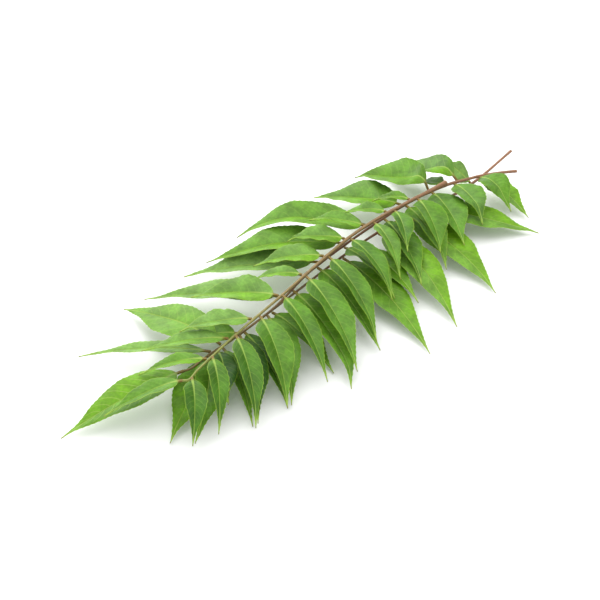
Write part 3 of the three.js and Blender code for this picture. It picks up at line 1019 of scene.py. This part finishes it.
OWN_DRESS: Dict[str, Dress] = {
    "lower_small_leaflet": Dress(Tone(0.0, 1.0, 0.0), Tone(0.0, 1.0, 0.0)),
    "lower_end_leaflet": Dress(Tone(0.55, 0.0, 0.05), Tone(0.6, 0.0, 0.05)),
    "lower_right_leaflet_5": Dress(Tone(0.4, 0.0, 0.2), Tone(0.3, 0.0, 0.2)),
    "lower_right_leaflet_6": Dress(Tone(0.6, 0.0, 0.15), Tone(0.4, 0.2, 0.1), 0.3),
    "lower_right_leaflet_7": Dress(Tone(0.3, 0.0, 0.0), Tone(0.3, 0.0, 0.0)),
    "lower_right_leaflet_8": Dress(Tone(0.1, 0.0, 0.7), Tone(0.1, 0.0, 0.7)),
    "lower_right_leaflet_9": Dress(Tone(0.3, 0.3, 0.0), Tone(0.3, 0.3, 0.0)),
    "middle_end_leaflet": Dress(Tone(0.4, 0.15, 0.1), Tone(0.75, 0.0, 0.3), 0.6),
    "middle_left_leaflet_1": Dress(Tone(0.75, 0.0, 0.1), Tone(0.15, 0.3, 0.3)),
    "middle_left_leaflet_2": Dress(Tone(0.2, 0.8, 0.0), Tone(0.2, 0.8, 0.0)),
    "middle_left_leaflet_3": Dress(Tone(0.45, 0.1, 0.15), Tone(0.3, 0.1, 0.2)),
    "middle_left_leaflet_7": Dress(Tone(0.4, 0.8, 0.0), Tone(0.2, 1.0, 0.0)),
    "middle_left_leaflet_8": Dress(Tone(0.2, 0.8, 0.0), Tone(0.1, 0.9, 0.0)),
    "middle_left_leaflet_9": Dress(Tone(0.5, 0.25, 0.0), Tone(0.5, 0.35, 0.0), 0.35),
    "middle_left_leaflet_10": Dress(Tone(0.1, 1.0, 0.0), Tone(0.1, 1.0, 0.0)),
    "middle_right_leaflet_1": Dress(Tone(0.25, 0.1, 0.1), Tone(0.2, 0.1, 0.2)),
    "middle_right_leaflet_2": Dress(Tone(0.1, 0.3, 0.1), Tone(0.1, 0.3, 0.2)),
    "middle_right_leaflet_3": Dress(Tone(0.1, 0.25, 0.05), Tone(0.1, 0.15, 0.2)),
    "middle_right_leaflet_4": Dress(Tone(0.35, 0.0, 0.0), Tone(0.3, 0.0, 0.05)),
    "middle_right_leaflet_6": Dress(Tone(0.3, 0.1, 0.0), Tone(0.3, 0.1, 0.0)),
    "middle_right_leaflet_7": Dress(Tone(0.3, 0.0, 0.05), Tone(0.3, 0.0, 0.1)),
    "middle_right_leaflet_8": Dress(Tone(0.3, 0.05, 0.0), Tone(0.25, 0.05, 0.1), 0.3, -2.6),
    "middle_right_leaflet_9": Dress(Tone(0.2, 0.15, 0.0), Tone(0.15, 0.1, 0.1)),
    "middle_right_leaflet_10": Dress(Tone(0.0, 0.0, 0.9), Tone(0.0, 0.0, 0.95)),
    "middle_right_leaflet_11": Dress(Tone(0.0, 0.0, 0.9), Tone(0.0, 0.0, 0.95)),
    "middle_right_leaflet_12": Dress(Tone(0.2, 0.05, 0.05), Tone(0.2, 0.05, 0.05)),
    "upper_end_leaflet": Dress(Tone(0.2, 0.15, 0.2), Tone(0.2, 0.1, 0.2)),
    "upper_left_leaflet_1": Dress(Tone(0.4, 0.0, 0.35), Tone(0.3, 0.0, 0.5)),
    "upper_left_leaflet_2": Dress(Tone(0.5, 0.1, 0.15), Tone(0.1, 0.35, 0.1)),
    "upper_left_leaflet_3": Dress(Tone(0.5, 0.1, 0.15), Tone(0.1, 0.35, 0.1)),
    "upper_left_leaflet_8": Dress(Tone(0.5, 0.5, 0.0), Tone(0.1, 0.8, 0.0)),
    "upper_left_leaflet_9": Dress(Tone(0.6, 0.4, 0.0), Tone(0.15, 0.75, 0.0)),
    "upper_left_leaflet_10": Dress(Tone(0.6, 0.0, 0.1), Tone(0.2, 0.3, 0.1)),
    "upper_right_leaflet_2": Dress(Tone(0.1, 0.08, 0.35), Tone(0.1, 0.0, 0.6)),
    "upper_right_leaflet_3": Dress(Tone(0.15, 0.35, 0.0), Tone(0.1, 0.3, 0.15)),
    "upper_right_leaflet_4": Dress(Tone(0.1, 0.08, 0.35), Tone(0.1, 0.0, 0.6)),
    "upper_right_leaflet_9": Dress(Tone(0.1, 0.0, 0.45), Tone(0.1, 0.0, 0.75)),
    "upper_right_leaflet_10": Dress(Tone(0.1, 0.0, 0.45), Tone(0.1, 0.0, 0.75)),
    "upper_right_leaflet_11": Dress(Tone(0.1, 0.0, 0.45), Tone(0.1, 0.0, 0.75)),
}


def dress_of(leaf: Leaf, name: str) -> Dress:
    """The dress of a leaflet.

    Args:
        leaf: The leaf that it belongs to.
        name: Its CAD node.

    Returns:
        Its own dress, or else that of its side of the leaf.
    """
    if name in OWN_DRESS:
        return OWN_DRESS[name]
    return SIDE_DRESS[(leaf, Side.LEFT if "_left_" in name else Side.RIGHT)]


@dataclass
class Sprig:
    """The whole cutting: three leaves, each a stalk with its leaflets."""

    finish: LeafletFinish = field(default_factory=LeafletFinish)

    def build(self) -> None:
        """Builds every piece and hides the CAD node that each stands for."""
        leaflet_material = self.finish.material()
        for leaf in Leaf:
            self._build_leaf(leaf, leaflet_material)

    def _build_leaf(self, leaf: Leaf, leaflet_material: bpy.types.Material) -> None:
        """Builds one leaf's leaflets and then its stalk."""
        stalk_name = f"{leaf.value}_stalk"
        end_name = f"{leaf.value}_end_leaflet"
        centres = stalk_centres(stalk_name)
        names = [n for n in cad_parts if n.startswith(leaf.value) and n != stalk_name]
        knots: Dict[str, np.ndarray] = {}
        for name in sorted(names):
            shape = LeafletFrame(name, centres)
            knots[name] = shape.grid[0, MIDRIB]
            piece = Leaflet(name, shape, dress_of(leaf, name)).build(leaflet_material)
            self._register(piece, name, LEAFLET_SLOT)
        finish = STALK_FINISHES[leaf]
        stalk = Stalk(
            stalk_name,
            finish,
            end=knots[end_name],
            knots=list(knots.values()),
            thinning=STALK_THINNING[leaf],
        )
        self._register(stalk.build(), stalk_name, finish.name)

    @staticmethod
    def _register(piece: bpy.types.Object, node: str, slot: str) -> None:
        """Hangs the piece under the root and hides the CAD node that it stands for."""
        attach(piece, "root")
        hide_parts(node)
        log.info("%s: %d faces", piece.name, len(piece.data.polygons))


@dataclass(frozen=True)
class Lamp:
    """A square soft light that looks at the sprig."""

    name: str
    place: Place
    size: float
    watts: float


KEY = Lamp("key", (0.2, 0.1, 1.2), 1.2, 8.0)
BACK = Lamp("back", (0.3, 0.9, 0.6), 1.0, 9.0)


@dataclass(frozen=True)
class Studio:
    """A pale floor, soft lights and the camera."""

    aim: Place = (-0.01904, -0.00174, 0.010)
    azimuth: float = -49.5
    elevation: float = 40.0
    distance: float = 0.595
    lens: float = 85.0
    floor_size: float = 8.0
    floor_drop_mm: float = 0.2
    floor_grey: float = 0.93
    floor_roughness: float = 0.9

    def build(self) -> None:
        """Sets the stage."""
        self._floor()
        self._sky()
        for lamp in (KEY, BACK):
            self._light(lamp)
        self._camera()

    def _floor(self) -> None:
        """A plain pale floor under the sprig."""
        bpy.ops.object.select_all(action="DESELECT")
        level = (0, 0, -self.floor_drop_mm * MM)
        bpy.ops.mesh.primitive_plane_add(size=self.floor_size, location=level)
        floor = bpy.context.active_object
        floor.name = "floor"
        grey = (self.floor_grey, self.floor_grey, self.floor_grey, 1.0)
        floor.data.materials.append(NodeKit("pale_floor").finish(grey, self.floor_roughness))

    @staticmethod
    def _sky() -> None:
        """Even white light from all round."""
        world = bpy.data.worlds.new("studio")
        world.use_nodes = True
        back = world.node_tree.nodes["Background"]
        back.inputs["Color"].default_value = (1.0, 1.0, 1.0, 1.0)
        back.inputs["Strength"].default_value = 1.0
        bpy.context.scene.world = world

    def _light(self, lamp: Lamp) -> None:
        """Hangs one lamp and turns it to the sprig."""
        bpy.ops.object.light_add(type="AREA", location=lamp.place)
        light = bpy.context.active_object
        light.name = lamp.name
        light.data.shape = "SQUARE"
        light.data.size = lamp.size
        light.data.energy = lamp.watts
        aim = Vector(self.aim) - Vector(lamp.place)
        light.rotation_euler = aim.to_track_quat("-Z", "Y").to_euler()

    def _camera(self) -> None:
        """The camera, at the sprig's left, looking down on it."""
        a, e = math.radians(self.azimuth), math.radians(self.elevation)
        towards = Vector((math.sin(a) * math.cos(e), -math.cos(a) * math.cos(e), math.sin(e)))
        data = bpy.data.cameras.new("camera")
        data.lens = self.lens
        data.clip_start = 0.01
        camera = bpy.data.objects.new("camera", data)
        bpy.context.scene.collection.objects.link(camera)
        camera.location = Vector(self.aim) + towards * self.distance
        camera.rotation_euler = (-towards).to_track_quat("-Z", "Y").to_euler()
        bpy.context.scene.camera = camera


def main() -> None:
    """Builds the sprig and its studio."""
    logging.basicConfig(level=logging.INFO, format="%(name)s %(message)s")
    bpy.context.scene.view_settings.view_transform = "Standard"
    Sprig().build()
    Studio().build()


if __name__ == "__main__":
    main()
